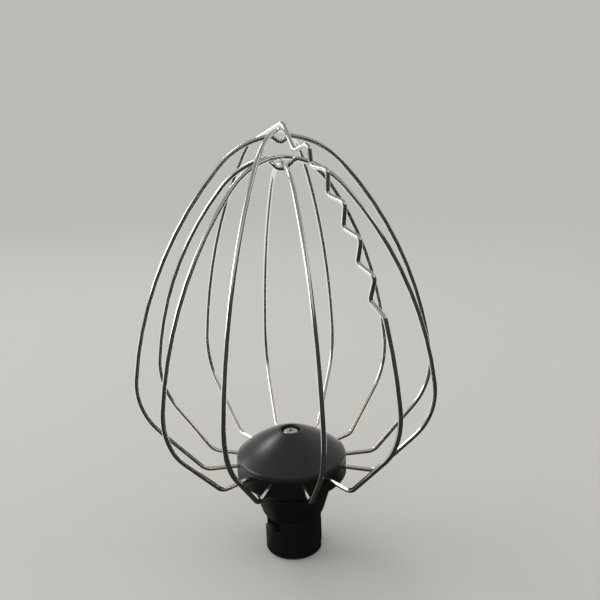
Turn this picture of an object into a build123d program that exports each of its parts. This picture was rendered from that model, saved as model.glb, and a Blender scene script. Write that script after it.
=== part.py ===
from build123d import *
import os
from math import atan2, cos, degrees, hypot, radians, sin, sqrt, tan

# Wire whisk for a stand mixer, standing on its drive stem.
# Millimetres. The origin is the centre of the stem's open end, and +Z runs up the axis to the cage.

# Drive stem and bell of the hub
stem_radius = 13.2
stem_length = 19.2
stem_edge = 0.8
ledge_width = 1.2
cone_radius = 18.2
cone_rise = 12.4
bell_radius = 23.6
bell_rise = 4.2
band_radius = 25.0
band_flare_rise = 1.6
band_height = 7.8
bell_rounding = 1.2
crown_web = 16.4

# Bayonet slots that take the drive shaft's cross pin
bore_radius = 8.0
bore_edge = 0.8
mouth_clearance = 0.3
mouth_land = 0.8
pin_slot_width = 5.6
pin_slot_height = 15.4
pin_slot_turn = 57.0
pin_slot_entry = 180.0
pin_slot_count = 2

# Dome cap
dome_lip = 1.4
dome_rise = 11.6
dome_bend = 56.0
dome_wall = 2.5
dome_edge = 0.4
crown_land = 1.0
register_radius = 20.0
register_height = 1.2
register_clearance = 0.15
boss_radius = 7.5
boss_gap = 0.2

# Centre screw
screw_radius = 2.0
screw_grip = 9.0
screw_tip = 1.2
head_radius = 3.5
head_height = 2.6
head_rounding = 0.8
head_depth = 0.8
recess_length = 4.2
recess_width = 1.0
recess_depth = 1.4
counterbore_clearance = 0.9
screw_hole_clearance = 0.25
thread_clearance = 0.05

# Cage wires, as their centre lines run
wire_diameter = 2.0
socket_depth = 12.0
foot_drop = 2.4
knee_reach = 39.0
knee_bend = 6.5
slant_angle = 47.5
shoulder_bend = 31.0
shoulder_lean = 7.5
outer_reach = 66.0
outer_crown_bend = 34.4
outer_crown_height = 193.4
inner_reach = 64.4
inner_crown_bend = 36.5
inner_crown_height = 180.4
crossing_gap = 0.2

# Places of the loops round the hub, where outer and inner loops take turns
first_loop_angle = 14.1
inner_loop_turn = 31.8
loop_count = 6

# Bends that take a loop out of its plain curve
wave_far_lead = 24.0
wave_peak = 1.5
wave_peak_outset = 0.75
wave_first_turn = 12.0
wave_pitch = 15.3
wave_depth = 6.4
wave_crown_inset = 2.4
wave_foot_outset = 1.2
wave_count = 6
wave_bend = 2.4
dip_bend = 2.2
bend_lead = 3.0
outer_dip_depth = 3.0
outer_dip_width = 8.0
inner_dip_width = 13.0
inner_dip_floor = 4.0

# Places that follow from the sizes above
ledge_z = stem_length
cone_foot_z = ledge_z + ledge_width
bell_foot_z = cone_foot_z + cone_rise
band_flare_z = bell_foot_z + bell_rise
band_z = band_flare_z + band_flare_rise
parting_z = band_z + band_height
register_z = parting_z + register_height
bore_depth = parting_z - crown_web
mouth_radius = bore_radius + mouth_clearance
mouth_depth = pin_slot_height + pin_slot_width / 2 + mouth_land
foot_z = parting_z - foot_drop
wire_radius = wire_diameter / 2
wire_end_radius = band_radius - socket_depth
loop_step = 360.0 / loop_count
crossing_pitch = wire_diameter + crossing_gap
inner_dip_depth = 2 * crossing_pitch + crossing_gap
counterbore_radius = head_radius + counterbore_clearance
dome_top_radius = counterbore_radius + crown_land
dome_top_z = parting_z + dome_lip + dome_rise
head_seat_z = dome_top_z - head_depth - head_height


def turned(*outline):
    """A solid turned about the axis from the lines round its half section, drawn as radius and height."""
    edges = [edge for line in outline for edge in line.edges()]
    return revolve(Plane.XZ * make_face(edges), Axis.Z)


def turned_corners(*corners):
    """A solid turned about the axis from the corners of its half section."""
    return turned(Polyline(*corners, close=True))


def radial_rod(radius, start, end, height, angle):
    """A round rod that lies across the axis, from one radius to another."""
    rod = Rot(0, 90, 0) * Cylinder(radius, end - start, align=(Align.CENTER, Align.CENTER, Align.MIN))
    return Rot(0, 0, angle) * Pos(start, 0, height) * rod


def outer_angle(index):
    """Direction of one side of an outer loop, counted round from the first."""
    return first_loop_angle + index * loop_step


def inner_angle(index):
    """Direction of the side of an inner loop that follows an outer one."""
    return outer_angle(index) + inner_loop_turn


def pin_slot(entry_angle):
    """An L shaped slot through the stem's wall: in at the open end, then round to the pin's seat."""
    inner = bore_radius / 2
    outer = stem_radius * 2
    half_width = pin_slot_width / 2
    upright = Rot(90, 0, 0) * Rectangle(outer - inner, pin_slot_width)
    run = revolve(Pos((inner + outer) / 2, 0, pin_slot_height) * upright, Axis.Z, pin_slot_turn)
    entry = Box(outer - inner, pin_slot_width, pin_slot_height, align=(Align.MIN, Align.CENTER, Align.MIN))
    corner = radial_rod(half_width, inner, outer, pin_slot_height, 0)
    seat = radial_rod(half_width, inner, outer, pin_slot_height, pin_slot_turn)
    return Rot(0, 0, entry_angle) * (run + Pos(inner, 0, 0) * entry + corner + seat)


def hub_body():
    """The moulded hub: hollow stem, bell, and the band that holds the wire ends."""
    outline = FilletPolyline(
        (stem_radius, ledge_z),
        (stem_radius + ledge_width, cone_foot_z),
        (cone_radius, bell_foot_z),
        (bell_radius, band_flare_z),
        (band_radius, band_z),
        (band_radius, parting_z),
        radius=[0, bell_rounding, bell_rounding, bell_rounding],
    )
    closing = Polyline(
        (band_radius, parting_z),
        (register_radius, parting_z),
        (register_radius, register_z),
        (0, register_z),
        (0, 0),
        (stem_radius - stem_edge, 0),
        (stem_radius, stem_edge),
        (stem_radius, ledge_z),
    )
    body = turned(outline, closing)
    body -= turned_corners(
        (0, 0),
        (mouth_radius + bore_edge, 0),
        (mouth_radius, bore_edge),
        (mouth_radius, mouth_depth),
        (bore_radius, mouth_depth + mouth_clearance),
        (bore_radius, bore_depth),
        (0, bore_depth),
    )
    for index in range(pin_slot_count):
        body -= pin_slot(pin_slot_entry + index * 360.0 / pin_slot_count)
    socket_mouth = band_radius + wire_diameter
    for index in range(loop_count):
        for angle in (outer_angle(index), inner_angle(index)):
            body -= radial_rod(wire_radius, wire_end_radius, socket_mouth, foot_z, angle)
    pilot_radius = screw_radius + thread_clearance
    pilot = Cylinder(pilot_radius, screw_grip + screw_tip, align=(Align.CENTER, Align.CENTER, Align.MAX))
    return body - Pos(0, 0, register_z) * pilot


def dome_height(radius, bend):
    """Height of an arc over a radius, about the centre from which the dome is struck."""
    run = band_radius - dome_top_radius
    chord = hypot(run, dome_rise)
    reach = sqrt(dome_bend**2 - (chord / 2) ** 2)
    centre_radius = (band_radius + dome_top_radius) / 2 - reach * dome_rise / chord
    centre_z = dome_top_z - dome_rise / 2 - reach * run / chord
    return centre_z + sqrt(bend**2 - (radius - centre_radius) ** 2)


def dome_arc(start, end, bend):
    """The arc over a span of radii."""
    radii = (start, (start + end) / 2, end)
    return ThreePointArc(*[(radius, dome_height(radius, bend)) for radius in radii])


def dome_cap():
    """The moulded cap: a shallow dome on a lip, hollow round a boss for the screw."""
    dome = dome_arc(band_radius, dome_top_radius, dome_bend)
    closing = Polyline(
        dome @ 1,
        (0, dome_top_z),
        (0, parting_z),
        (band_radius - dome_edge, parting_z),
        (band_radius, parting_z + dome_edge),
        dome @ 0,
    )
    cap = turned(dome, closing)
    roof = dome_arc(register_radius + register_clearance, boss_radius, dome_bend - dome_wall)
    walls = Polyline(
        roof @ 1,
        (boss_radius, parting_z),
        (register_radius + register_clearance, parting_z),
        roof @ 0,
    )
    cap -= turned(roof, walls)
    cap -= Pos(0, 0, register_z) * Cylinder(boss_radius, 2 * boss_gap)
    cap -= Pos(0, 0, parting_z) * Cylinder(boss_radius, 2 * register_height)
    return cap - turned_corners(
        (0, parting_z),
        (screw_radius + screw_hole_clearance, parting_z),
        (screw_radius + screw_hole_clearance, head_seat_z),
        (counterbore_radius, head_seat_z),
        (counterbore_radius, dome_top_z),
        (0, dome_top_z),
    )


def centre_screw():
    """The screw that draws the cap onto the hub, with a cross recess in its head."""
    head_top_z = head_seat_z + head_height
    grip_z = register_z - screw_grip
    screw = turned_corners(
        (0, grip_z - screw_tip),
        (screw_radius, grip_z),
        (screw_radius, head_seat_z),
        (head_radius, head_seat_z),
        (head_radius, head_top_z),
        (0, head_top_z),
    )
    screw = fillet(screw.edges().group_by(Axis.Z)[-1], head_rounding)
    for angle in (0, 90):
        blade = Box(recess_length, recess_width, recess_depth, align=(Align.CENTER, Align.CENTER, Align.MAX))
        screw -= Pos(0, 0, head_top_z) * Rot(0, 0, angle) * blade
    return screw


def half_run(reach, crown_bend, crown_height):
    """One side of a loop's centre line, from the wire's end in the hub up to the crown."""
    slant = radians(slant_angle)
    rib_angle = 90 + shoulder_lean
    slant_end_x = reach - shoulder_bend + shoulder_bend * sin(slant)
    slant_end_z = foot_z + (slant_end_x - knee_reach) * tan(slant)
    foot = FilletPolyline(
        (wire_end_radius, foot_z),
        (knee_reach, foot_z),
        (slant_end_x, slant_end_z),
        radius=knee_bend,
    )
    shoulder = JernArc(foot @ 1, (cos(slant), sin(slant)), shoulder_bend, rib_angle - slant_angle)
    inward = Vector(-sin(radians(rib_angle)), cos(radians(rib_angle)))
    crown_centre = Vector(0, crown_height - crown_bend)
    span = shoulder @ 1 - crown_centre
    rib_bend = (span.dot(span) - crown_bend**2) / (-2 * (inward.dot(span) + crown_bend))
    rib_centre = shoulder @ 1 + inward * rib_bend
    crown_angle = degrees(atan2(-rib_centre.X, rib_centre.Y - crown_centre.Y))
    rib = JernArc(shoulder @ 1, shoulder % 1, rib_bend, crown_angle - rib_angle)
    crown = JernArc(rib @ 1, rib % 1, crown_bend, 180 - crown_angle)
    return Wire([*foot.edges(), shoulder, rib, crown])


def bent_stretch(run, turns, bend):
    """A run with one stretch rebent: corners set in from it by given depths, at distances along it."""
    first = turns[0][0] - bend_lead
    last = turns[-1][0] + bend_lead
    lead_in = run.position_at(first, PositionMode.LENGTH)
    lead_out = run.position_at(last, PositionMode.LENGTH)
    along_in = run.tangent_at(first, PositionMode.LENGTH)
    along_out = run.tangent_at(last, PositionMode.LENGTH)
    corners = [lead_in, lead_in + along_in * bend_lead]
    for distance, depth in turns[1:-1]:
        along = run.tangent_at(distance, PositionMode.LENGTH)
        inward = Vector(-along.Y, along.X)
        corners.append(run.position_at(distance, PositionMode.LENGTH) + inward * depth)
    corners += [lead_out - along_out * bend_lead, lead_out]
    stretch = FilletPolyline(*corners, radius=bend)
    length = run.length
    before = run.trim(0, first / length)
    after = run.trim(last / length, 1)
    return Wire([*before.edges(), *stretch.edges(), *after.edges()])


def whole_run(reach, crown_bend, crown_height):
    """A loop's whole plain centre line, from one wire end to the other."""
    side = half_run(reach, crown_bend, crown_height)
    other = mirror(side, Plane.YZ)
    return Wire([*side.edges(), *other.edges()])


def wavy_run(run):
    """The centre line with a peak by its crown and a regular wave down its first side from there."""
    crown = run.length / 2
    last = 2 * wave_count - 1
    turns = [(crown + wave_far_lead, 0), (crown - wave_peak, -wave_peak_outset)]
    for index in range(last + 1):
        distance = crown - wave_first_turn - index * wave_pitch / 2
        inset = wave_crown_inset * (1 - index / last) - wave_foot_outset * index / last
        turns.append((distance, inset + wave_depth * ((index + 1) % 2)))
    return bent_stretch(run, turns[::-1], wave_bend)


def dipped_run(run, depth, width, floor):
    """The centre line with a dip at its crown, which lets the other loops pass over it."""
    crown = run.length / 2
    turns = [(crown - width / 2, 0)]
    if floor > 0:
        turns += [(crown - floor / 2, depth), (crown + floor / 2, depth)]
    else:
        turns += [(crown, depth)]
    turns += [(crown + width / 2, 0)]
    return bent_stretch(run, turns, dip_bend)


def wire_loop(run, angle):
    """The round wire along a centre line, turned to its place about the axis."""
    path = Plane.XZ * run
    section = Plane(path @ 0, z_dir=path % 0) * Circle(wire_radius)
    return Rot(0, 0, angle) * sweep(section, path)


def outer_run(place):
    """Centre line of the outer loop at a place in the stack, counted down from the top."""
    return whole_run(outer_reach, outer_crown_bend, outer_crown_height - place * crossing_pitch)


def inner_run(place):
    """Centre line of the inner loop at a place in the stack, counted down from the top."""
    return whole_run(inner_reach, inner_crown_bend, inner_crown_height - place * crossing_pitch)


nodes = {
    "hub_body": hub_body(),
    "dome_cap": dome_cap(),
    "centre_screw": centre_screw(),
    "outer_loop_wavy": wire_loop(wavy_run(outer_run(0)), outer_angle(5)),
    "outer_loop_plain": wire_loop(outer_run(1), outer_angle(1)),
    "outer_loop_dipped": wire_loop(
        dipped_run(outer_run(2), outer_dip_depth, outer_dip_width, 0), outer_angle(0)
    ),
    "inner_loop_top": wire_loop(inner_run(0), inner_angle(0)),
    "inner_loop_plain": wire_loop(inner_run(1), inner_angle(1)),
    "inner_loop_dipped": wire_loop(
        dipped_run(inner_run(0), inner_dip_depth, inner_dip_width, inner_dip_floor), inner_angle(2)
    ),
}

os.makedirs("parts", exist_ok=True)
for name, solid in nodes.items():
    export_step(solid, f"parts/{name}.step")
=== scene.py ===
"""A stand mixer's wire whisk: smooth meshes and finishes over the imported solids, and a plain studio."""
import logging
from collections.abc import Sequence
from dataclasses import dataclass, field
from enum import Enum
from math import atan2, ceil, cos, degrees, hypot, pi, radians, sin, sqrt, tan, tau

import bmesh
import bpy
from mathutils import Matrix, Vector


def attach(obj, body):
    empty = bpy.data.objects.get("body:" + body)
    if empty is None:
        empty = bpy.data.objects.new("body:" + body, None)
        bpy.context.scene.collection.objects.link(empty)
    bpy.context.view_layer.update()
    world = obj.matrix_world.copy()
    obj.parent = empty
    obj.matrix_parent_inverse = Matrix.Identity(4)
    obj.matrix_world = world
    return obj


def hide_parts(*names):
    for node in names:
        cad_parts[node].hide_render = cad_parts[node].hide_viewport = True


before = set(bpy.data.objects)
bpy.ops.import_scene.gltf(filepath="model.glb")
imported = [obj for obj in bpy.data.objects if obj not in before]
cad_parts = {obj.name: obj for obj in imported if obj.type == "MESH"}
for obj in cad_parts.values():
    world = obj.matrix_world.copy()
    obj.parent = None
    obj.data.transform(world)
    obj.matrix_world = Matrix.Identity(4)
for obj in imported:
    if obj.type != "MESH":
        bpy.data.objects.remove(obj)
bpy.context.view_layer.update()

MM = 0.001
BODY = "root"
LOG = logging.getLogger("whisk")
ORIGIN = (0.0, 0.0, 0.0)
UP = (0.0, 0.0, 1.0)
SWING_AXIS = (0.0, -1.0, 0.0)
NOISE_MIDDLE = 0.5
WELD = 0.002 * MM

Colour = tuple[float, float, float]
WINDOW_COLOUR: Colour = (1.0, 0.985, 0.96)


class Layer(Enum):
    """The two sets of loops that make the cage."""

    OUTER = "outer"
    INNER = "inner"


class Form(Enum):
    """How a loop leaves its plain curve."""

    PLAIN = "plain"
    WAVY = "wavy"
    DIPPED = "dipped"


def scaled(colour: Colour, factor: float) -> Colour:
    """A colour made darker or paler by a factor."""
    return (colour[0] * factor, colour[1] * factor, colour[2] * factor)


class Reading:
    """A number that changes over a surface, used in Python sums that add Math nodes."""

    def __init__(self, graph: "Graph", socket: bpy.types.NodeSocket) -> None:
        """Wraps an output socket of a graph."""
        self.graph = graph
        self.socket = socket

    def _math(self, operation: str, first: "Reading | float", second: "Reading | float") -> "Reading":
        """Adds one Math node and wraps its result."""
        node = self.graph.node("ShaderNodeMath", {"operation": operation}, {0: first, 1: second})
        return Reading(self.graph, node.outputs[0])

    def __add__(self, other: "Reading | float") -> "Reading":
        """Sum."""
        return self._math("ADD", self, other)

    def __radd__(self, other: float) -> "Reading":
        """Sum with a plain number first."""
        return self._math("ADD", other, self)

    def __sub__(self, other: "Reading | float") -> "Reading":
        """Difference."""
        return self._math("SUBTRACT", self, other)

    def __rsub__(self, other: float) -> "Reading":
        """Difference with a plain number first."""
        return self._math("SUBTRACT", other, self)

    def __mul__(self, other: "Reading | float") -> "Reading":
        """Product."""
        return self._math("MULTIPLY", self, other)

    def __rmul__(self, other: float) -> "Reading":
        """Product with a plain number first."""
        return self._math("MULTIPLY", other, self)

    def __pow__(self, other: "Reading | float") -> "Reading":
        """Power."""
        return self._math("POWER", self, other)

    def __rpow__(self, other: float) -> "Reading":
        """Power of a plain number."""
        return self._math("POWER", other, self)

    def wave(self) -> "Reading":
        """Sine of the number, in radians, moved to run from 0 to 1."""
        return self._math("SINE", self, 0.0) * 0.5 + 0.5

    def eased(self, low: float, high: float) -> "Reading":
        """The number's way from one value to another, eased at both ends.

        Args:
            low: the value that gives 0.
            high: the value that gives 1.

        Returns:
            The share of the way.
        """
        settings = {"interpolation_type": "SMOOTHSTEP"}
        sockets = {"Value": self, "From Min": low, "From Max": high}
        return Reading(self.graph, self.graph.node("ShaderNodeMapRange", settings, sockets).outputs["Result"])


class Graph:
    """The node tree of one material or of the world."""

    def __init__(self, tree: bpy.types.NodeTree) -> None:
        """Takes over a tree and empties it."""
        self.tree = tree
        tree.nodes.clear()

    def node(self, kind: str, settings: dict | None = None, sockets: dict | None = None) -> bpy.types.Node:
        """Adds one node.

        Args:
            kind: the node's type.
            settings: what is set on the node before its sockets.
            sockets: values or links of its inputs, by name or place.

        Returns:
            The node.
        """
        node = self.tree.nodes.new(kind)
        for name, value in (settings or {}).items():
            setattr(node, name, value)
        for key, value in (sockets or {}).items():
            source = value.socket if isinstance(value, Reading) else value
            if isinstance(source, bpy.types.NodeSocket):
                self.tree.links.new(source, node.inputs[key])
            else:
                node.inputs[key].default_value = source
        return node

    def place(self) -> bpy.types.NodeSocket:
        """The surface's own place, in metres."""
        return self.node("ShaderNodeTexCoord").outputs["Object"]

    def attribute(self, name: str) -> bpy.types.NodeSocket:
        """A vector that the mesh carries at each point."""
        return self.node("ShaderNodeAttribute", {"attribute_name": name}).outputs["Vector"]

    def stretched(self, vector: bpy.types.NodeSocket, scale: Sequence[float]) -> bpy.types.NodeSocket:
        """A vector with each axis scaled by itself."""
        sockets = {"Vector": vector, "Scale": tuple(scale)}
        return self.node("ShaderNodeMapping", None, sockets).outputs["Vector"]

    def axes(self, vector: bpy.types.NodeSocket) -> tuple[Reading, Reading, Reading]:
        """The three numbers of a vector."""
        outputs = self.node("ShaderNodeSeparateXYZ", None, {"Vector": vector}).outputs
        return Reading(self, outputs["X"]), Reading(self, outputs["Y"]), Reading(self, outputs["Z"])

    def off_axis(self) -> Reading:
        """The surface's distance from the whisk's axis, in metres."""
        across, along, _ = self.axes(self.place())
        return (across * across + along * along) ** 0.5

    def noise(self, vector: bpy.types.NodeSocket, size: float, detail: float = 3.0) -> Reading:
        """Soft noise about a half, with lumps of a given size in metres."""
        sockets = {"Vector": vector, "Scale": 1.0 / size, "Detail": detail}
        return Reading(self, self.node("ShaderNodeTexNoise", None, sockets).outputs["Fac"])

    def blend(self, share: Reading, first: Colour, second: Colour) -> bpy.types.NodeSocket:
        """A colour between two others, by a share from 0 to 1."""
        sockets = {"Factor": share, 6: (*first, 1.0), 7: (*second, 1.0)}
        return self.node("ShaderNodeMix", {"data_type": "RGBA"}, sockets).outputs[2]

    def mottled(self, share: Reading, colour: Colour, spread: float) -> bpy.types.NodeSocket:
        """A colour that runs from a little darker to a little paler, by a share from 0 to 1."""
        return self.blend(share, scaled(colour, 1 - spread), scaled(colour, 1 + spread))

    def relief(self, height: Reading, depth: float) -> bpy.types.NodeSocket:
        """A normal from a height of 0 to 1 over a surface."""
        return self.node("ShaderNodeBump", None, {"Height": height, "Distance": depth}).outputs["Normal"]

    def surface(self, sockets: dict) -> None:
        """Ends the tree in one Principled surface."""
        shader = self.node("ShaderNodeBsdfPrincipled", None, sockets)
        self.node("ShaderNodeOutputMaterial", None, {"Surface": shader.outputs["BSDF"]})


def material_graph(name: str) -> tuple[bpy.types.Material, Graph]:
    """Makes an empty material.

    Args:
        name: what the material is called.

    Returns:
        The material and its node tree.
    """
    material = bpy.data.materials.new(name)
    material.use_nodes = True
    return material, Graph(material.node_tree)


def uneven(level: float, spread: float, *noises: Reading) -> Reading | float:
    """Lets a level wander with some noises.

    Args:
        level: the level in the middle.
        spread: how far each noise can move it, from end to end.
        noises: what moves it, each about a half.

    Returns:
        The level over the surface.
    """
    total: Reading | float = level
    for noise in noises:
        total = total + (noise - NOISE_MIDDLE) * spread
    return total


@dataclass(frozen=True)
class MouldedPlastic:
    """Satin moulded plastic with a fine spark grain and a faint unevenness of gloss."""

    name: str
    colour: Colour
    roughness: float
    gloss_spread: float = 0.10
    mottle: float = 0.12
    mottle_size: float = 7.0 * MM
    mottle_detail: float = 4.0
    grain_size: float = 0.28 * MM
    grain_depth: float = 0.010 * MM

    def material(self) -> bpy.types.Material:
        """Makes the finish as a material.

        Returns:
            The material.
        """
        material, graph = material_graph(self.name)
        place = graph.place()
        cloud = graph.noise(place, self.mottle_size, detail=self.mottle_detail)
        grain = graph.noise(place, self.grain_size)
        graph.surface({
            "Base Color": graph.mottled(cloud, self.colour, self.mottle),
            "Roughness": uneven(self.roughness, self.gloss_spread, cloud, grain),
            "Normal": graph.relief(grain, self.grain_depth),
        })
        return material


@dataclass(frozen=True)
class DrawnWire:
    """Polished stainless wire with faint draw lines along it, straw tinted near the hub and painted paler
    there as a sheen.
    """

    name: str
    colour: Colour = (0.78, 0.775, 0.76)
    # The colour near the hub is a straw tint with a painted sheen on top, paler than the wire above it.
    foot_tint_and_sheen: Colour = (0.96, 0.92, 0.82)
    foot_from: float = 47.0 * MM
    foot_to: float = 80.0 * MM
    roughness: float = 0.13
    gloss_spread: float = 0.10
    line_size: float = 0.16 * MM
    line_stretch: float = 0.012
    line_depth: float = 0.004 * MM
    stain_size: float = 9.0 * MM
    stain_share: float = 0.15

    def material(self) -> bpy.types.Material:
        """Makes the finish as a material.

        Returns:
            The material.
        """
        material, graph = material_graph(self.name)
        laid = graph.attribute(WireCage.LAID)
        lines = graph.noise(graph.stretched(laid, (1.0, 1.0, self.line_stretch)), self.line_size)
        stain = graph.noise(graph.place(), self.stain_size)
        _, _, height = graph.axes(graph.place())
        # Painted sheen: the wire is painted paler and straw tinted near the hub, from foot_from up to
        # foot_to, and the stain noise moves the edge.
        rise = height.eased(self.foot_from, self.foot_to) * (1 - self.stain_share) + stain * self.stain_share
        graph.surface({
            "Base Color": graph.blend(rise, self.foot_tint_and_sheen, self.colour),
            "Metallic": 1.0,
            "Roughness": uneven(self.roughness, self.gloss_spread, lines, stain),
            "Normal": graph.relief(lines, self.line_depth),
        })
        return material


@dataclass(frozen=True)
class TurnedSteel:
    """Bright screw steel with the rings that turning leaves."""

    name: str
    colour: Colour = (0.74, 0.73, 0.71)
    dull_colour: Colour = (0.50, 0.49, 0.47)
    roughness: float = 0.24
    gloss_spread: float = 0.12
    ring_pitch: float = 0.12 * MM
    ring_depth: float = 0.003 * MM
    stain_size: float = 1.6 * MM

    def material(self) -> bpy.types.Material:
        """Makes the finish as a material.

        Returns:
            The material.
        """
        material, graph = material_graph(self.name)
        rings = (graph.off_axis() * (tau / self.ring_pitch)).wave()
        stain = graph.noise(graph.place(), self.stain_size)
        graph.surface({
            "Base Color": graph.blend(stain, self.dull_colour, self.colour),
            "Metallic": 1.0,
            "Roughness": uneven(self.roughness, self.gloss_spread, stain),
            "Normal": graph.relief(rings, self.ring_depth),
        })
        return material


def shade_smooth(mesh: bmesh.types.BMesh, sharp_angle: float) -> None:
    """Shades a mesh smooth but for its corners.

    Args:
        mesh: what is shaded.
        sharp_angle: turn between two faces, in degrees, past which their edge stays sharp.
    """
    for face in mesh.faces:
        face.smooth = True
    for edge in mesh.edges:
        edge.smooth = edge.is_manifold and edge.calc_face_angle(0.0) < radians(sharp_angle)


def add_object(name: str, mesh: bmesh.types.BMesh) -> bpy.types.Object:
    """Puts a finished mesh into the scene, at the origin, and frees it.

    Args:
        name: what the piece is called.
        mesh: the piece's mesh, with its place in it.

    Returns:
        The new object.
    """
    data = bpy.data.meshes.new(name)
    mesh.to_mesh(data)
    mesh.free()
    piece = bpy.data.objects.new(name, data)
    bpy.context.scene.collection.objects.link(piece)
    return piece


def carved(body: bmesh.types.BMesh, cutter: bmesh.types.BMesh) -> bmesh.types.BMesh:
    """Cuts closed shapes out of a closed mesh, and frees both.

    The solver's points come in any order, so they are merged in the order of their places.

    Args:
        body: what is cut.
        cutter: the shapes to take out, which may cross one another.

    Returns:
        What is left.
    """
    bmesh.ops.recalc_face_normals(cutter, faces=cutter.faces[:])
    blank, tool = add_object("blank", body), add_object("tool", cutter)
    cut = blank.modifiers.new("cut", "BOOLEAN")
    cut.operation = "DIFFERENCE"
    cut.solver = "EXACT"
    cut.use_self = True
    cut.object = tool
    result = bpy.data.meshes.new_from_object(blank.evaluated_get(bpy.context.evaluated_depsgraph_get()))
    mesh = bmesh.new()
    mesh.from_mesh(result)
    in_order = sorted(mesh.verts, key=lambda vert: vert.co[:])
    bmesh.ops.remove_doubles(mesh, verts=in_order, dist=WELD)
    bmesh.ops.dissolve_degenerate(mesh, dist=WELD, edges=mesh.edges[:])
    for spare in (blank.data, tool.data, result):
        bpy.data.meshes.remove(spare)
    return mesh


def dress(piece: bpy.types.Object, node: str, material: bpy.types.Material, slot: str) -> None:
    """Gives a piece its finish and lets it stand for the solid that it follows.

    Args:
        piece: the new piece.
        node: the solid's node.
        material: the piece's finish.
        slot: the record's slot of that finish.
    """
    piece.data.materials.append(material)
    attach(piece, BODY)
    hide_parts(node)
    LOG.info("%s stands for %s in %s, %d faces", piece.name, node, slot, len(piece.data.polygons))


class Turning:
    """A half section drawn in the XZ plane, corner by corner, and turned about the axis."""

    SEGMENTS = 128
    ROUND_STEPS = 4
    SHARP_ANGLE = 32.0
    MERGE = 1e-7

    def __init__(self) -> None:
        """Starts an empty section."""
        self.mesh = bmesh.new()
        self.tip: bmesh.types.BMVert | None = None
        self.first: bmesh.types.BMVert | None = None
        self.bends: list[tuple[bmesh.types.BMVert, float]] = []

    def corner(self, radius: float, height: float, bend: float = 0.0, rings: int = 0) -> None:
        """Runs the outline straight to a corner.

        Args:
            radius: the corner's distance from the axis.
            height: the corner's height.
            bend: the radius that rounds the corner.
            rings: how many rings divide the straight.
        """
        place = Vector((radius, 0.0, height))
        if self.tip is None:
            self.first = bmesh.ops.create_vert(self.mesh, co=place)["vert"][0]
            self.tip = self.first
        else:
            start = self.tip.co.copy()
            for step in range(1, rings + 2):
                self.tip = bmesh.ops.extrude_vert_indiv(self.mesh, verts=[self.tip])["verts"][0]
                self.tip.co = start.lerp(place, step / (rings + 1))
        if bend > 0:
            self.bends.append((self.tip, bend))

    def arc(self, centre: tuple[float, float], angle: float, steps: int, bend: float = 0.0) -> None:
        """Swings the outline round a centre.

        Args:
            centre: the centre's radius and height.
            angle: the swing, positive from the radius towards the height.
            steps: how many chords the arc has.
            bend: the radius that rounds the corner at the arc's end.
        """
        swung = bmesh.ops.spin(
            self.mesh, geom=[self.tip], cent=(centre[0], 0.0, centre[1]), axis=SWING_AXIS,
            angle=angle, steps=steps, use_duplicate=False,
        )
        self.tip = next(item for item in swung["geom_last"] if isinstance(item, bmesh.types.BMVert))
        if bend > 0:
            self.bends.append((self.tip, bend))

    def turned(self) -> bmesh.types.BMesh:
        """Closes the section, rounds its corners and turns it.

        Returns:
            The closed mesh.
        """
        mesh = self.mesh
        bmesh.ops.contextual_create(mesh, geom=[self.first, self.tip])
        bmesh.ops.contextual_create(mesh, geom=mesh.edges[:])
        for vert, bend in self.bends:
            before, after = (edge.other_vert(vert).co - vert.co for edge in vert.link_edges)
            bmesh.ops.bevel(
                mesh, geom=[vert], offset=bend * tan((pi - before.angle(after)) / 2), offset_type="OFFSET",
                affect="VERTICES", segments=self.ROUND_STEPS, profile=0.5, material=-1,
            )
        bmesh.ops.delete(mesh, geom=mesh.faces[:], context="FACES_ONLY")
        on_axis = [edge for edge in mesh.edges if all(vert.co.x < self.MERGE for vert in edge.verts)]
        bmesh.ops.delete(mesh, geom=on_axis, context="EDGES")
        bmesh.ops.spin(
            mesh, geom=mesh.verts[:] + mesh.edges[:], cent=ORIGIN, axis=UP,
            angle=tau, steps=self.SEGMENTS, use_merge=True, use_duplicate=False,
        )
        bmesh.ops.remove_doubles(mesh, verts=mesh.verts[:], dist=self.MERGE)
        bmesh.ops.recalc_face_normals(mesh, faces=mesh.faces[:])
        shade_smooth(mesh, self.SHARP_ANGLE)
        return mesh


@dataclass(frozen=True)
class Leg:
    """A straight or evenly bent stretch of a wire, as it is fed and bent."""

    length: float
    turn: float = 0.0


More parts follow.
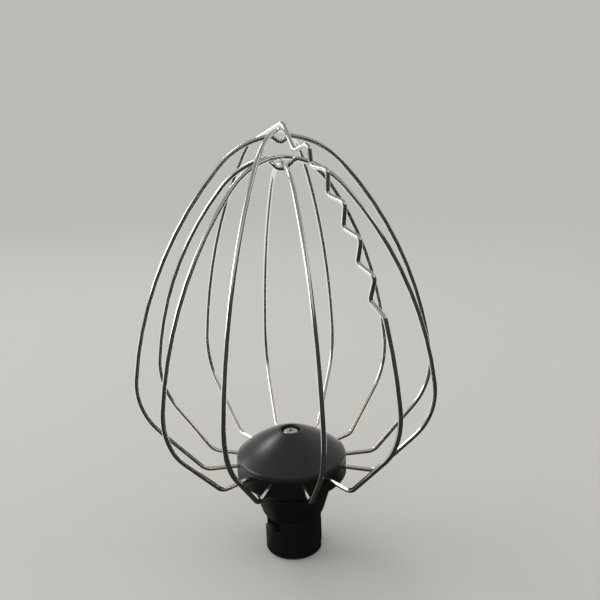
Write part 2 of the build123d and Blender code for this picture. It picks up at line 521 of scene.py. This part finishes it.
@dataclass
class Run:
    """A wire's centre line in its loop's own plane, as radius and height."""

    start: Vector
    heading: float
    legs: list[Leg]

    @staticmethod
    def along(heading: float) -> Vector:
        """Unit vector of a heading."""
        return Vector((cos(heading), sin(heading)))

    @staticmethod
    def left(heading: float) -> Vector:
        """Unit vector to the left of a heading, which is into the cage."""
        return Vector((-sin(heading), cos(heading)))

    @property
    def length(self) -> float:
        """The wire's whole length."""
        return sum(leg.length for leg in self.legs)

    @classmethod
    def after(cls, point: Vector, heading: float, leg: Leg) -> tuple[Vector, float]:
        """The place and heading at the end of a leg.

        Args:
            point: where the leg starts.
            heading: its heading there.
            leg: the leg.

        Returns:
            The end's place and heading.
        """
        if leg.turn == 0:
            return point + cls.along(heading) * leg.length, heading
        radius = leg.length / leg.turn
        centre = point + cls.left(heading) * radius
        return centre - cls.left(heading + leg.turn) * radius, heading + leg.turn

    def cut(self, first: float, last: float) -> list[Leg]:
        """The legs between two distances along the wire.

        Args:
            first: where the stretch starts.
            last: where it ends.

        Returns:
            The legs, shortened where the stretch cuts them.
        """
        legs = []
        passed = 0.0
        for leg in self.legs:
            overlap = min(last, passed + leg.length) - max(first, passed)
            if overlap > 0:
                legs.append(Leg(overlap, leg.turn * overlap / leg.length))
            passed += leg.length
        return legs

    def at(self, distance: float) -> tuple[Vector, float]:
        """Finds a place on the wire.

        Args:
            distance: how far along the wire it is.

        Returns:
            The place and the heading there.
        """
        point, heading = self.start, self.heading
        for leg in self.cut(0.0, distance):
            point, heading = self.after(point, heading, leg)
        return point, heading

    @staticmethod
    def rounded(corners: Sequence[Vector], bend: float) -> list[Leg]:
        """The legs along corners that are each rounded by one bend.

        Args:
            corners: the corners, with both ends.
            bend: the bends' radius.

        Returns:
            The legs.
        """
        legs = []
        set_back = 0.0
        for before, corner, after in zip(corners, corners[1:], corners[2:]):
            inwards, outwards = corner - before, after - corner
            turn = atan2(inwards.x * outwards.y - inwards.y * outwards.x, inwards.dot(outwards))
            tangent = bend * tan(abs(turn) / 2)
            legs.append(Leg(inwards.length - set_back - tangent))
            legs.append(Leg(bend * abs(turn), turn))
            set_back = tangent
        legs.append(Leg((corners[-1] - corners[-2]).length - set_back))
        return legs

    def rebent(self, turns: Sequence[tuple[float, float]], bend: float, lead: float) -> "Run":
        """The wire with one stretch rebent.

        Args:
            turns: distances along the wire, each with how far in the wire turns there.
            bend: the radius of the new bends.
            lead: how far the new bends start before the first turn and end after the last.

        Returns:
            The new run.
        """
        first, last = turns[0][0] - lead, turns[-1][0] + lead
        start, heading_in = self.at(first)
        end, heading_out = self.at(last)
        corners = [start, start + self.along(heading_in) * lead]
        for distance, depth in turns[1:-1]:
            point, heading = self.at(distance)
            corners.append(point + self.left(heading) * depth)
        corners += [end - self.along(heading_out) * lead, end]
        legs = self.cut(0.0, first) + self.rounded(corners, bend) + self.cut(last, self.length)
        return Run(self.start, self.heading, legs)


@dataclass(frozen=True)
class Loop:
    """One wire of the cage, with its place down from the top of the crossing and its steps round the axis."""

    node: str
    layer: Layer
    form: Form
    place: int
    step: int


@dataclass
class WireCage:
    """Six bent wires whose ends sit in the hub."""

    wire_radius: float = 1.0 * MM
    end_radius: float = 13.0 * MM
    foot_height: float = 44.0 * MM
    knee_reach: float = 39.0 * MM
    knee_bend: float = 6.5 * MM
    slant_angle: float = 47.5
    shoulder_bend: float = 31.0 * MM
    shoulder_lean: float = 7.5
    reach: dict[Layer, float] = field(
        default_factory=lambda: {Layer.OUTER: 66.0 * MM, Layer.INNER: 64.4 * MM})
    crown_bend: dict[Layer, float] = field(
        default_factory=lambda: {Layer.OUTER: 34.4 * MM, Layer.INNER: 36.5 * MM})
    crown_height: dict[Layer, float] = field(
        default_factory=lambda: {Layer.OUTER: 193.4 * MM, Layer.INNER: 180.4 * MM})
    crossing_gap: float = 0.2 * MM
    first_angle: float = 14.1
    inner_turn: float = 31.8
    loop_step: float = 60.0
    wave_far_lead: float = 24.0 * MM
    wave_peak: float = 1.5 * MM
    wave_peak_outset: float = 0.75 * MM
    wave_first_turn: float = 12.0 * MM
    wave_pitch: float = 15.3 * MM
    wave_depth: float = 6.4 * MM
    wave_crown_inset: float = 2.4 * MM
    wave_foot_outset: float = 1.2 * MM
    wave_count: int = 6
    wave_bend: float = 2.4 * MM
    dip_bend: float = 2.2 * MM
    bend_lead: float = 3.0 * MM
    outer_dip_depth: float = 3.0 * MM
    outer_dip_width: float = 8.0 * MM
    inner_dip_width: float = 13.0 * MM
    inner_dip_floor: float = 4.0 * MM
    loops: tuple[Loop, ...] = (
        Loop("outer_loop_wavy", Layer.OUTER, Form.WAVY, place=0, step=5),
        Loop("outer_loop_plain", Layer.OUTER, Form.PLAIN, place=1, step=1),
        Loop("outer_loop_dipped", Layer.OUTER, Form.DIPPED, place=2, step=0),
        Loop("inner_loop_top", Layer.INNER, Form.PLAIN, place=0, step=0),
        Loop("inner_loop_plain", Layer.INNER, Form.PLAIN, place=1, step=1),
        Loop("inner_loop_dipped", Layer.INNER, Form.DIPPED, place=0, step=2),
    )
    finish: DrawnWire = DrawnWire("wire_steel_drawn")

    LAID = "laid_straight"
    SLOT = "wire_steel"
    SIDES = 28
    STEP_ANGLE = 4.0
    SHARP_ANGLE = 60.0

    @property
    def crossing_pitch(self) -> float:
        """The drop from one wire's centre line to the next where they cross."""
        return 2 * self.wire_radius + self.crossing_gap

    def angle(self, loop: Loop) -> float:
        """The direction of a loop's first side about the axis, in degrees."""
        layer_turn = self.inner_turn if loop.layer is Layer.INNER else 0.0
        return self.first_angle + layer_turn + loop.step * self.loop_step

    def plain_run(self, layer: Layer, place: int) -> Run:
        """A loop's plain centre line, from one wire end to the other.

        Args:
            layer: the set that the loop is in.
            place: its place in the crossing, counted down from the top.

        Returns:
            The run.
        """
        crown_height = self.crown_height[layer] - place * self.crossing_pitch
        reach, crown_bend = self.reach[layer], self.crown_bend[layer]
        slant, rib = radians(self.slant_angle), radians(90 + self.shoulder_lean)
        slant_end = reach - self.shoulder_bend + self.shoulder_bend * sin(slant)
        tangent = self.knee_bend * tan(slant / 2)
        side = [
            Leg(self.knee_reach - self.end_radius - tangent),
            Leg(self.knee_bend * slant, slant),
            Leg((slant_end - self.knee_reach) / cos(slant) - tangent),
            Leg(self.shoulder_bend * (rib - slant), rib - slant),
        ]
        start = Vector((self.end_radius, self.foot_height))
        lower = Run(start, 0.0, side)
        shoulder, heading = lower.at(lower.length)
        span = shoulder - Vector((0.0, crown_height - crown_bend))
        inwards = Run.left(heading)
        rib_bend = (span.dot(span) - crown_bend**2) / (-2 * (inwards.dot(span) + crown_bend))
        rib_centre = shoulder + inwards * rib_bend
        crown = atan2(-rib_centre.x, rib_centre.y - (crown_height - crown_bend))
        side.append(Leg(rib_bend * (crown - heading), crown - heading))
        side.append(Leg(crown_bend * (pi - crown), pi - crown))
        return Run(start, 0.0, side + side[::-1])

    def wavy(self, run: Run) -> Run:
        """Gives a run a peak by its crown and a regular wave down its first side from there.

        Args:
            run: the plain run.

        Returns:
            The new run.
        """
        crown = run.length / 2
        last = 2 * self.wave_count - 1
        turns = [(crown + self.wave_far_lead, 0.0), (crown - self.wave_peak, -self.wave_peak_outset)]
        for index in range(last + 1):
            distance = crown - self.wave_first_turn - index * self.wave_pitch / 2
            inset = self.wave_crown_inset * (1 - index / last) - self.wave_foot_outset * index / last
            turns.append((distance, inset + self.wave_depth * ((index + 1) % 2)))
        return run.rebent(turns[::-1], self.wave_bend, self.bend_lead)

    def dipped(self, run: Run, layer: Layer) -> Run:
        """Gives a run a dip at its crown, which lets the other loops pass over it.

        Args:
            run: the plain run.
            layer: the set that the loop is in.

        Returns:
            The new run.
        """
        crown = run.length / 2
        if layer is Layer.OUTER:
            width, inner_turns = self.outer_dip_width, [(crown, self.outer_dip_depth)]
        else:
            width = self.inner_dip_width
            depth = 2 * self.crossing_pitch + self.crossing_gap
            floor = self.inner_dip_floor / 2
            inner_turns = [(crown - floor, depth), (crown + floor, depth)]
        turns = [(crown - width / 2, 0.0), *inner_turns, (crown + width / 2, 0.0)]
        return run.rebent(turns, self.dip_bend, self.bend_lead)

    def run(self, loop: Loop) -> Run:
        """Bends the centre line of one loop into its form.

        Args:
            loop: the loop.

        Returns:
            The run.
        """
        plain = self.plain_run(loop.layer, loop.place)
        if loop.form is Form.WAVY:
            return self.wavy(plain)
        if loop.form is Form.DIPPED:
            return self.dipped(plain, loop.layer)
        return plain

    def tube(self, run: Run, angle: float) -> bmesh.types.BMesh:
        """Draws the round wire along a run: each leg is fed on straight or bent round.

        Args:
            run: the centre line.
            angle: the loop's direction about the axis, in degrees.

        Returns:
            The wire's mesh. Each point also carries its place on the wire laid straight.
        """
        mesh = bmesh.new()
        laid = mesh.verts.layers.float_vector.new(self.LAID)
        upright = Matrix.Translation((run.start.x, 0.0, run.start.y)) @ Matrix.Rotation(radians(90), 4, "Y")
        bmesh.ops.create_circle(mesh, segments=self.SIDES, radius=self.wire_radius, matrix=upright)
        for vert in mesh.verts:
            vert[laid] = (vert.co.y, vert.co.z - run.start.y, 0.0)
        edges = mesh.edges[:]
        bmesh.ops.contextual_create(mesh, geom=edges)
        point, heading, fed = run.start, run.heading, 0.0
        for leg in run.legs:
            steps = max(1, ceil(abs(degrees(leg.turn)) / self.STEP_ANGLE))
            part = Leg(leg.length / steps, leg.turn / steps)
            for _ in range(steps):
                edges = self.fed_on(mesh, edges, point, heading, part)
                point, heading = Run.after(point, heading, part)
                fed += part.length
                for vert in {vert for edge in edges for vert in edge.verts}:
                    vert[laid] = (*vert[laid].xy, fed)
        bmesh.ops.contextual_create(mesh, geom=edges)
        bmesh.ops.rotate(mesh, verts=mesh.verts[:], matrix=Matrix.Rotation(radians(angle), 3, "Z"))
        bmesh.ops.recalc_face_normals(mesh, faces=mesh.faces[:])
        shade_smooth(mesh, self.SHARP_ANGLE)
        return mesh

    @staticmethod
    def fed_on(
        mesh: bmesh.types.BMesh, edges: list[bmesh.types.BMEdge], point: Vector, heading: float, leg: Leg,
    ) -> list[bmesh.types.BMEdge]:
        """Takes the wire's open end on by one leg.

        Args:
            mesh: the wire's mesh.
            edges: the ring at its open end.
            point: the centre of that ring.
            heading: the wire's heading there.
            leg: the leg to add.

        Returns:
            The ring at the new end.
        """
        if leg.turn == 0:
            geometry = bmesh.ops.extrude_edge_only(mesh, edges=edges)["geom"]
            step = Run.along(heading) * leg.length
            verts = [item for item in geometry if isinstance(item, bmesh.types.BMVert)]
            bmesh.ops.translate(mesh, verts=verts, vec=(step.x, 0.0, step.y))
            ends = set(verts)
            new_edges = [item for item in geometry if isinstance(item, bmesh.types.BMEdge)]
            return [edge for edge in new_edges if set(edge.verts) <= ends]
        centre = point + Run.left(heading) * (leg.length / leg.turn)
        bent = bmesh.ops.spin(
            mesh, geom=edges, cent=(centre.x, 0.0, centre.y), axis=SWING_AXIS,
            angle=leg.turn, steps=1, use_duplicate=False,
        )
        return [item for item in bent["geom_last"] if isinstance(item, bmesh.types.BMEdge)]

    def build(self) -> None:
        """Makes and dresses every wire."""
        material = self.finish.material()
        for loop in self.loops:
            mesh = self.tube(self.run(loop), self.angle(loop))
            dress(add_object(loop.node.replace("loop", "wire"), mesh), loop.node, material, self.SLOT)


@dataclass
class HubBody:
    """The black hub: a hollow stem with two bayonet slots, a flared bell and a band that holds the wires."""

    stem_radius: float = 13.2 * MM
    stem_length: float = 19.2 * MM
    stem_edge: float = 0.8 * MM
    ledge_width: float = 1.2 * MM
    cone_radius: float = 18.2 * MM
    cone_top: float = 32.8 * MM
    bell_radius: float = 23.6 * MM
    bell_top: float = 37.0 * MM
    band_radius: float = 25.0 * MM
    band_foot: float = 38.6 * MM
    band_top: float = 46.4 * MM
    bell_rounding: float = 1.2 * MM
    register_radius: float = 20.0 * MM
    register_top: float = 47.6 * MM
    pilot_radius: float = 2.05 * MM
    pilot_floor: float = 37.4 * MM
    bore_radius: float = 8.0 * MM
    bore_top: float = 30.0 * MM
    mouth_radius: float = 8.3 * MM
    mouth_top: float = 19.0 * MM
    slot_width: float = 5.6 * MM
    slot_height: float = 15.4 * MM
    slot_turn: float = 57.0
    slot_entries: tuple[float, ...] = (180.0, 0.0)
    slot_edge: float = 0.35 * MM
    socket_clearance: float = 0.05 * MM
    finish: MouldedPlastic = MouldedPlastic("hub_black_satin", colour=(0.006, 0.006, 0.006), roughness=0.36)

    NODE = "hub_body"
    SLOT = "hub_black"
    STEM_RINGS = 18
    ROUND_SIDES = 48
    RIM_BAND = 0.02 * MM
    RIM_STEPS = 3

    def blank(self) -> bmesh.types.BMesh:
        """The hub before its slots and sockets are cut.

        Returns:
            The closed mesh.
        """
        mouth_step = self.mouth_radius - self.bore_radius
        ledge_top = self.stem_length + self.ledge_width
        section = Turning()
        section.corner(0.0, self.bore_top)
        section.corner(self.bore_radius, self.bore_top)
        section.corner(self.bore_radius, self.mouth_top + mouth_step)
        section.corner(self.mouth_radius, self.mouth_top)
        section.corner(self.mouth_radius, self.stem_edge, rings=self.STEM_RINGS)
        section.corner(self.mouth_radius + self.stem_edge, 0.0)
        section.corner(self.stem_radius - self.stem_edge, 0.0)
        section.corner(self.stem_radius, self.stem_edge, bend=self.stem_edge)
        section.corner(self.stem_radius, self.stem_length, rings=self.STEM_RINGS)
        section.corner(self.stem_radius + self.ledge_width, ledge_top)
        section.corner(self.cone_radius, self.cone_top, bend=self.bell_rounding)
        section.corner(self.bell_radius, self.bell_top, bend=self.bell_rounding)
        section.corner(self.band_radius, self.band_foot, bend=self.bell_rounding)
        section.corner(self.band_radius, self.band_top, bend=self.slot_edge)
        section.corner(self.register_radius, self.band_top)
        section.corner(self.register_radius, self.register_top)
        section.corner(self.pilot_radius, self.register_top)
        section.corner(self.pilot_radius, self.pilot_floor)
        section.corner(0.0, self.pilot_floor)
        return section.turned()

    def rod(
        self, mesh: bmesh.types.BMesh, radius: float, span: tuple[float, float], height: float, angle: float,
    ) -> None:
        """Adds a round rod across the axis to the cutting shapes.

        Args:
            mesh: the cutting shapes.
            radius: the rod's radius.
            span: the distances from the axis at which it starts and ends.
            height: its height.
            angle: its direction about the axis, in degrees.
        """
        lay = (
            Matrix.Rotation(radians(angle), 4, "Z")
            @ Matrix.Translation((sum(span) / 2, 0.0, height))
            @ Matrix.Rotation(radians(90), 4, "Y")
        )
        bmesh.ops.create_cone(
            mesh, cap_ends=True, segments=self.ROUND_SIDES, radius1=radius, radius2=radius,
            depth=span[1] - span[0], matrix=lay,
        )

    def cut_slot(self, mesh: bmesh.types.BMesh, entry: float) -> None:
        """Adds an L shaped slot to the cutting shapes: in at the open end, then round to the pin's seat.

        Args:
            mesh: the cutting shapes.
            entry: the slot's direction about the axis, in degrees.
        """
        span = (self.bore_radius / 2, 2 * self.stem_radius)
        middle, reach, below = sum(span) / 2, span[1] - span[0], self.slot_width
        turn = Matrix.Rotation(radians(entry), 4, "Z")
        upright = Matrix.Translation((middle, 0.0, (self.slot_height - below) / 2))
        size = Matrix.Diagonal((reach, self.slot_width, self.slot_height + below, 1.0))
        bmesh.ops.create_cube(mesh, size=1.0, matrix=turn @ upright @ size)
        face = (
            turn @ Matrix.Translation((middle, 0.0, self.slot_height)) @ Matrix.Rotation(radians(90), 4, "X")
            @ Matrix.Diagonal((reach, self.slot_width, 1.0, 1.0))
        )
        verts = bmesh.ops.create_grid(mesh, x_segments=1, y_segments=1, size=0.5, matrix=face)["verts"]
        edges = dict.fromkeys(edge for vert in verts for edge in vert.link_edges)
        faces = dict.fromkeys(item for vert in verts for item in vert.link_faces)
        bmesh.ops.spin(
            mesh, geom=[*verts, *edges, *faces], cent=ORIGIN, axis=UP,
            angle=radians(self.slot_turn), steps=self.ROUND_SIDES, use_duplicate=False,
        )
        for angle in (entry, entry + self.slot_turn):
            self.rod(mesh, self.slot_width / 2, span, self.slot_height, angle)
        bmesh.ops.holes_fill(mesh, edges=mesh.edges[:], sides=4)

    def soften_slots(self, mesh: bmesh.types.BMesh) -> None:
        """Breaks the slots' edges round the outside of the stem, as far as the shortest edge there allows.

        Args:
            mesh: the hub, with its slots cut.
        """
        foot, head = self.stem_edge, self.stem_length - self.slot_edge
        rim = []
        for edge in mesh.edges:
            outside = all(abs(vert.co.xy.length - self.stem_radius) < self.RIM_BAND for vert in edge.verts)
            on_stem = all(foot < vert.co.z < head for vert in edge.verts)
            if outside and on_stem and edge.calc_face_angle(0.0) > radians(Turning.SHARP_ANGLE):
                rim.append(edge)
        bmesh.ops.bevel(
            mesh, geom=rim, offset=self.slot_edge, offset_type="OFFSET", affect="EDGES",
            segments=self.RIM_STEPS, profile=0.5, material=-1, clamp_overlap=True,
        )

    def build(self, cage: WireCage) -> None:
        """Makes and dresses the hub.

        Args:
            cage: the wires, each end of which gets a socket.
        """
        cutter = bmesh.new()
        for entry in self.slot_entries:
            self.cut_slot(cutter, entry)
        span = (cage.end_radius - self.socket_clearance, self.band_radius + cage.end_radius)
        for loop in cage.loops:
            for angle in (cage.angle(loop), cage.angle(loop) + 180):
                self.rod(cutter, cage.wire_radius + self.socket_clearance, span, cage.foot_height, angle)
        mesh = carved(self.blank(), cutter)
        self.soften_slots(mesh)
        shade_smooth(mesh, Turning.SHARP_ANGLE)
        dress(add_object("hub_moulding", mesh), self.NODE, self.finish.material(), self.SLOT)


@dataclass
class DomeCap:
    """The shallow grey dome that closes the hub, hollow round a boss for the screw."""

    radius: float = HubBody.band_radius
    foot: float = HubBody.band_top
    lip: float = 1.4 * MM
    rise: float = 11.6 * MM
    bend: float = 56.0 * MM
    wall: float = 2.5 * MM
    top_radius: float = 5.4 * MM
    counterbore_radius: float = 4.4 * MM
    head_seat: float = 56.0 * MM
    screw_hole_radius: float = 2.25 * MM
    hollow_radius: float = 20.15 * MM
    boss_radius: float = 7.5 * MM
    boss_foot: float = 47.8 * MM
    edge: float = 0.3 * MM
    land_bend: float = 2.0 * MM
    lip_bend: float = 2.0 * MM
    finish: MouldedPlastic = MouldedPlastic("cap_grey_satin", colour=(0.0165, 0.016, 0.016), roughness=0.30)

    NODE = "dome_cap"
    SLOT = "cap_grey"
    ARC_STEPS = 28

    def centre(self) -> tuple[float, float]:
        """Works out the point from which the dome is struck.

        Returns:
            The point's radius and height.
        """
        run = self.radius - self.top_radius
        chord = hypot(run, self.rise)
        reach = sqrt(self.bend**2 - (chord / 2) ** 2)
        middle = self.foot + self.lip + self.rise / 2
        return (self.radius + self.top_radius) / 2 - reach * self.rise / chord, middle - reach * run / chord

    def swing(self, start: float, end: float, bend: float) -> tuple[float, float]:
        """An arc of the dome.

        Args:
            start: the radius where it starts.
            end: the radius where it ends.
            bend: the arc's own radius.

        Returns:
            The height at its start, and its swing.
        """
        centre_radius, centre_height = self.centre()
        rise = sqrt(bend**2 - (start - centre_radius) ** 2)
        end_rise = sqrt(bend**2 - (end - centre_radius) ** 2)
        swing = atan2(end_rise, end - centre_radius) - atan2(rise, start - centre_radius)
        return centre_height + rise, swing

    def build(self) -> None:
        """Makes and dresses the cap."""
        top = self.foot + self.lip + self.rise
        _, outwards = self.swing(self.top_radius, self.radius, self.bend)
        roof, inwards = self.swing(self.hollow_radius, self.boss_radius, self.bend - self.wall)
        section = Turning()
        section.corner(self.screw_hole_radius, self.boss_foot)
        section.corner(self.screw_hole_radius, self.head_seat)
        section.corner(self.counterbore_radius, self.head_seat)
        section.corner(self.counterbore_radius, top, bend=self.edge)
        section.corner(self.top_radius, top, bend=self.land_bend)
        section.arc(self.centre(), outwards, self.ARC_STEPS, bend=self.lip_bend)
        section.corner(self.radius, self.foot, bend=self.edge)
        section.corner(self.hollow_radius, self.foot)
        section.corner(self.hollow_radius, roof)
        section.arc(self.centre(), inwards, self.ARC_STEPS)
        section.corner(self.boss_radius, self.boss_foot)
        cap = add_object("dome_moulding", section.turned())
        dress(cap, self.NODE, self.finish.material(), self.SLOT)


@dataclass
class CentreScrew:
    """The cross recess screw that draws the cap onto the hub."""

    radius: float = 2.0 * MM
    point: float = HubBody.pilot_floor
    tip: float = 1.2 * MM
    head_radius: float = 3.5 * MM
    head_seat: float = DomeCap.head_seat
    head_height: float = 2.6 * MM
    head_rounding: float = 0.8 * MM
    recess_length: float = 4.2 * MM
    recess_width: float = 1.0 * MM
    recess_depth: float = 1.4 * MM
    recess_taper: float = 0.45
    finish: TurnedSteel = TurnedSteel("screw_steel_turned")

    NODE = "centre_screw"
    SLOT = "screw_steel"

    def recess(self) -> bmesh.types.BMesh:
        """Makes the cross that is sunk into the head, with arms that taper downwards.

        Returns:
            The cutting shapes.
        """
        top = self.head_seat + self.head_height
        mesh = bmesh.new()
        for angle in (0, 90):
            lay = (
                Matrix.Rotation(radians(angle), 4, "Z")
                @ Matrix.Translation((0.0, 0.0, top))
                @ Matrix.Diagonal((self.recess_length, self.recess_width, 2 * self.recess_depth, 1.0))
            )
            arm = bmesh.ops.create_cube(mesh, size=1.0, matrix=lay)["verts"]
            floor = [vert for vert in arm if vert.co.z < top]
            bmesh.ops.scale(mesh, verts=floor, vec=(self.recess_taper, self.recess_taper, 1.0))
        return mesh

    def build(self) -> None:
        """Makes and dresses the screw."""
        top = self.head_seat + self.head_height
        section = Turning()
        section.corner(0.0, self.point)
        section.corner(self.radius, self.point + self.tip)
        section.corner(self.radius, self.head_seat)
        section.corner(self.head_radius, self.head_seat)
        section.corner(self.head_radius, top, bend=self.head_rounding)
        section.corner(0.0, top)
        mesh = carved(section.turned(), self.recess())
        shade_smooth(mesh, Turning.SHARP_ANGLE)
        dress(add_object("screw_turned", mesh), self.NODE, self.finish.material(), self.SLOT)


@dataclass(frozen=True)
class Lamp:
    """A soft box that faces the whisk."""

    name: str
    azimuth: float
    elevation: float
    width: float
    height: float
    power: float
    colour: Colour = (1.0, 1.0, 1.0)
    distance: float = 2.60

    def place(self, aim: Vector) -> Vector:
        """Works out where the box hangs.

        Args:
            aim: the point that it faces.

        Returns:
            The middle of the box.
        """
        turn, rise = radians(self.azimuth), radians(self.elevation)
        away = Vector((cos(turn) * cos(rise), sin(turn) * cos(rise), sin(rise)))
        return aim + away * self.distance


class CardPlace(Enum):
    """Where a card stands: the ends, as radius and height, of the line that is swept round the axis."""

    CENTRE = ((0.0, MM), (0.1, MM))
    FLOOR = ((0.1, MM), (1.6, MM))
    WALL = ((0.9, MM), (0.9, 0.65))
    CEILING = ((0.0, 0.9), (0.7, 0.9))


@dataclass(frozen=True)
class Card:
    """A grey card round the axis that only reflections see."""

    name: str
    place: CardPlace
    middle: float
    span: float
    tone: float

    STEPS = 64
    FULL_SPAN = 360.0

    def build(self) -> None:
        """Stands the card in the studio."""
        line = Turning()
        for radius, height in self.place.value:
            line.corner(radius, height)
        mesh = line.mesh
        start = Matrix.Rotation(radians(self.middle - self.span / 2), 3, "Z")
        bmesh.ops.rotate(mesh, verts=mesh.verts[:], matrix=start)
        bmesh.ops.spin(
            mesh, geom=mesh.verts[:] + mesh.edges[:], cent=ORIGIN, axis=UP, angle=radians(self.span),
            steps=self.STEPS, use_merge=self.span == self.FULL_SPAN, use_duplicate=False,
        )
        card = add_object(self.name, mesh)
        material, graph = material_graph(self.name)
        grey = (self.tone, self.tone, self.tone, 1.0)
        graph.surface({"Base Color": grey, "Roughness": 1.0, "Specular IOR Level": 0.0})
        card.data.materials.append(material)
        card.visible_camera = False
        card.visible_diffuse = False
        card.visible_transmission = False
        card.visible_shadow = False


@dataclass
class Studio:
    """Pale floor, soft window light from the left, and cards that draw the wires' edges."""

    floor_radius: float = 12.0
    floor_colour: Colour = (0.56, 0.55, 0.525)
    floor_roughness: float = 0.8
    floor_mottle: float = 0.02
    floor_mottle_size: float = 0.4
    floor_mottle_detail: float = 2.0
    fade: tuple[float, float] = (0.25, 1.3)
    sky_colour: Colour = (0.80, 0.80, 0.79)
    sky_strength: float = 0.95
    backdrop_colour: Colour = (0.510, 0.495, 0.465)
    aim: Vector = field(default_factory=lambda: Vector((0.0, 0.0, 0.08)))
    lens: float = 41.29
    near_clip: float = 10.0 * MM
    camera_place: tuple[float, float, float] = (27.35 * MM, -286.56 * MM, 194.54 * MM)
    heading: float = -4.25
    pitch: float = 14.59
    roll: float = -1.70
    lamps: tuple[Lamp, ...] = (
        Lamp("window_left", azimuth=175.0, elevation=18.0, width=2.40, height=0.90, power=27.0,
             colour=WINDOW_COLOUR),
        Lamp("window_pane", azimuth=136.0, elevation=43.0, width=0.80, height=0.60, power=10.0,
             colour=WINDOW_COLOUR),
        Lamp("fill_right", azimuth=0.0, elevation=22.0, width=1.00, height=1.60, power=5.0),
    )
    cards: tuple[Card, ...] = (
        Card("dark_centre", CardPlace.CENTRE, middle=310.0, span=230.0, tone=0.03),
        Card("dim_centre", CardPlace.CENTRE, middle=130.0, span=130.0, tone=0.18),
        Card("dark_front", CardPlace.FLOOR, middle=287.5, span=195.0, tone=0.03),
        Card("dark_room", CardPlace.WALL, middle=300.0, span=170.0, tone=0.05),
        Card("dim_ceiling", CardPlace.CEILING, middle=0.0, span=Card.FULL_SPAN, tone=0.50),
        Card("pale_back", CardPlace.FLOOR, middle=107.5, span=165.0, tone=0.90),
    )

    FLOOR_SIDES = 96

    def build_floor(self) -> None:
        """Lays the floor."""
        mesh = bmesh.new()
        bmesh.ops.create_circle(mesh, cap_ends=True, segments=self.FLOOR_SIDES, radius=self.floor_radius)
        floor = add_object("floor", mesh)
        material, graph = material_graph("floor_pale")
        cloud = graph.noise(graph.place(), self.floor_mottle_size, detail=self.floor_mottle_detail)
        near = graph.node("ShaderNodeBsdfPrincipled", None, {
            "Base Color": graph.mottled(cloud, self.floor_colour, self.floor_mottle),
            "Roughness": self.floor_roughness,
            "Specular IOR Level": 0.0,
        })
        far = graph.node("ShaderNodeEmission", None, {"Color": (*self.backdrop_colour, 1.0)})
        fade = graph.off_axis().eased(*self.fade)
        both = graph.node("ShaderNodeMixShader", None, {
            0: fade, 1: near.outputs["BSDF"], 2: far.outputs["Emission"]})
        graph.node("ShaderNodeOutputMaterial", None, {"Surface": both.outputs["Shader"]})
        floor.data.materials.append(material)

    def build_sky(self) -> None:
        """Lights the whisk softly from all round, with a pale backdrop that the camera and metal see."""
        world = bpy.data.worlds.new("soft_sky")
        bpy.context.scene.world = world
        world.use_nodes = True
        graph = Graph(world.node_tree)
        sky = graph.node("ShaderNodeBackground", None, {
            "Color": (*self.sky_colour, 1.0), "Strength": self.sky_strength})
        backdrop = graph.node("ShaderNodeBackground", None, {"Color": (*self.backdrop_colour, 1.0)})
        path = graph.node("ShaderNodeLightPath").outputs
        camera, glossy, clear = (
            Reading(graph, path[f"Is {kind} Ray"]) for kind in ("Camera", "Glossy", "Transmission"))
        both = graph.node("ShaderNodeMixShader", None, {
            0: camera + glossy + clear, 1: sky.outputs["Background"], 2: backdrop.outputs["Background"]})
        graph.node("ShaderNodeOutputWorld", None, {"Surface": both.outputs["Shader"]})

    def build_lamps(self) -> None:
        """Hangs the soft boxes."""
        for lamp in self.lamps:
            light = bpy.data.lights.new(lamp.name, "AREA")
            light.shape = "RECTANGLE"
            light.size, light.size_y = lamp.width, lamp.height
            light.energy = lamp.power
            light.color = lamp.colour
            holder = bpy.data.objects.new(lamp.name, light)
            place = lamp.place(self.aim)
            facing = (place - self.aim).to_track_quat("Z", "Y").to_matrix().to_4x4()
            holder.matrix_world = Matrix.Translation(place) @ facing
            holder.visible_camera = False
            bpy.context.scene.collection.objects.link(holder)

    def build_camera(self) -> None:
        """Stands the camera where the whisk was seen from."""
        data = bpy.data.cameras.new("camera")
        data.lens = self.lens
        data.clip_start = self.near_clip
        camera = bpy.data.objects.new("camera", data)
        turn = (
            Matrix.Rotation(radians(-self.heading), 4, "Z")
            @ Matrix.Rotation(radians(90 - self.pitch), 4, "X")
            @ Matrix.Rotation(radians(self.roll), 4, "Z")
        )
        camera.matrix_world = Matrix.Translation(self.camera_place) @ turn
        bpy.context.scene.collection.objects.link(camera)
        bpy.context.scene.camera = camera

    def build(self) -> None:
        """Sets up floor, cards, light and camera."""
        self.build_floor()
        for card in self.cards:
            card.build()
        self.build_sky()
        self.build_lamps()
        self.build_camera()
        bpy.context.scene.view_settings.view_transform = "Standard"


def main() -> None:
    """Builds the whisk's pieces in order, then the studio."""
    logging.basicConfig(level=logging.INFO, format="%(name)s: %(message)s")
    cage = WireCage()
    HubBody().build(cage)
    DomeCap().build()
    CentreScrew().build()
    cage.build()
    Studio().build()


if __name__ == "__main__":
    main()
